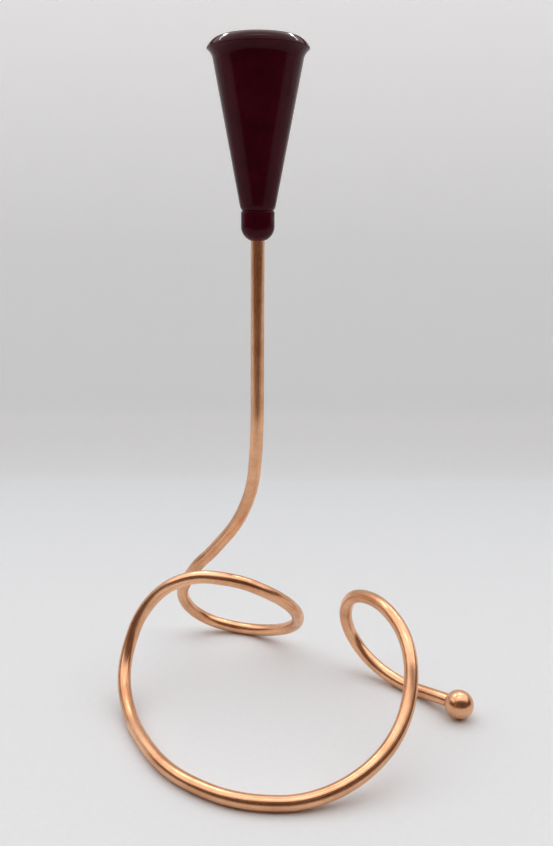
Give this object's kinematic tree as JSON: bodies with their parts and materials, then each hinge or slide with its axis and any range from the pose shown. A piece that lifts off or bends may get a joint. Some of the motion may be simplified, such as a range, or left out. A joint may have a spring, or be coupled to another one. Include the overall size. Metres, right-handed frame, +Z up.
{
  "type": "spiral candle holder",
  "caption": "Free-standing taper candle holder: a bent copper rod loops on the table, rises as a stem and carries a flared dark red cup; a ball closes its tail.",
  "frame": {"origin": "on the table, under the axis of the stem", "axes": "+Z up along the stem and out of the candle's socket; -Y is the front, where the big ring lies; +X is the side of the ball"},
  "size_m": [0.1396, 0.1269, 0.2501],
  "materials": {
    "copper": "satin polished copper",
    "red_gloss": "polished, near-black oxblood red",
    "steel": "plain",
    "brass": "spun, dull"
  },
  "bodies": {
    "root": {"spiral_rod": "copper", "end_ball": "copper", "neck_bead": "red_gloss", "candle_cup": "red_gloss", "clamp_washer": "steel", "clamp_nut": "steel", "socket_liner": "brass"}
  },
  "joints": []
}
